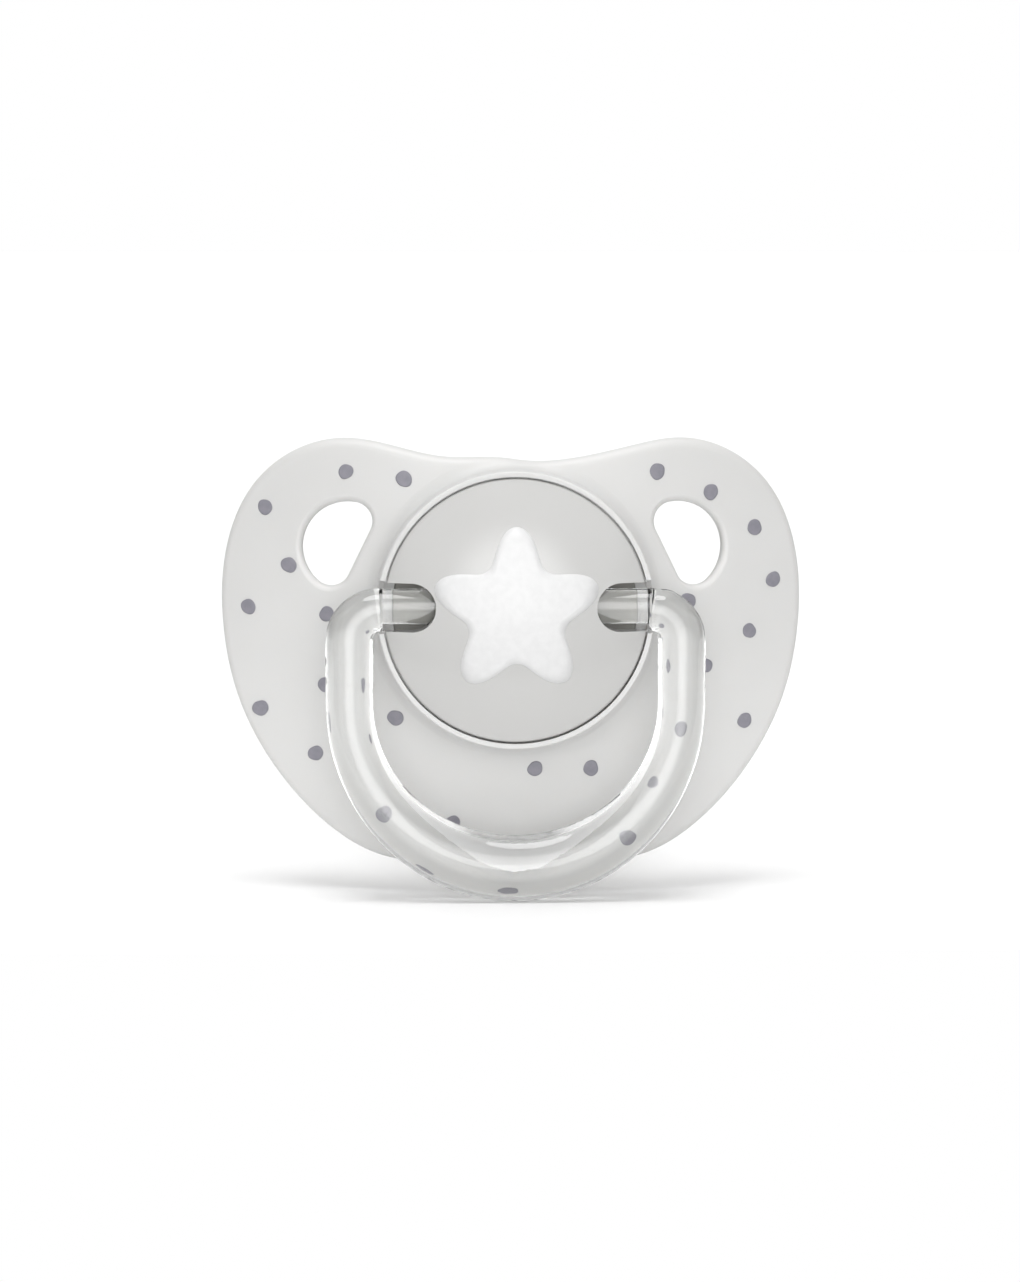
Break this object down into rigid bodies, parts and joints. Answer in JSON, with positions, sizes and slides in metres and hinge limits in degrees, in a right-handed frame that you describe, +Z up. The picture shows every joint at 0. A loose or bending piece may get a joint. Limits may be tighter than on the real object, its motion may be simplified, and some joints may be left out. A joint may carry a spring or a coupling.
{
  "type": "pacifier",
  "caption": "Baby's pacifier: butterfly shield with air vents, soft anatomical teat, snap-in domed front cover and a clear ring handle that swings.",
  "frame": {"origin": "on the teat's axis, where the teat leaves the shield's mouth side", "axes": "+Y along the teat's axis, from the shield towards the mouth; +Z up, towards the nose; +X across the face"},
  "size_m": [0.048, 0.0364, 0.0375],
  "materials": {
    "shield_plastic": "satin",
    "cover_plastic": "gloss",
    "clear_plastic": "gloss",
    "silicone": "satin",
    "plug_plastic": "satin",
    "grey_ink": "satin",
    "white_ink": "gloss"
  },
  "bodies": {
    "shield_assembly": {"shield": "shield_plastic", "front_cover": "cover_plastic", "teat": "silicone", "teat_plug": "plug_plastic"},
    "ring": {"ring_handle": "clear_plastic"}
  },
  "joints": [
    {"name": "ring_swing", "type": "hinge", "parent": "shield_assembly", "child": "ring", "pos_m": [0, -0.0054, 0.0003], "axis": [-1, 0, 0], "range_deg": [-10, 195]}
  ]
}
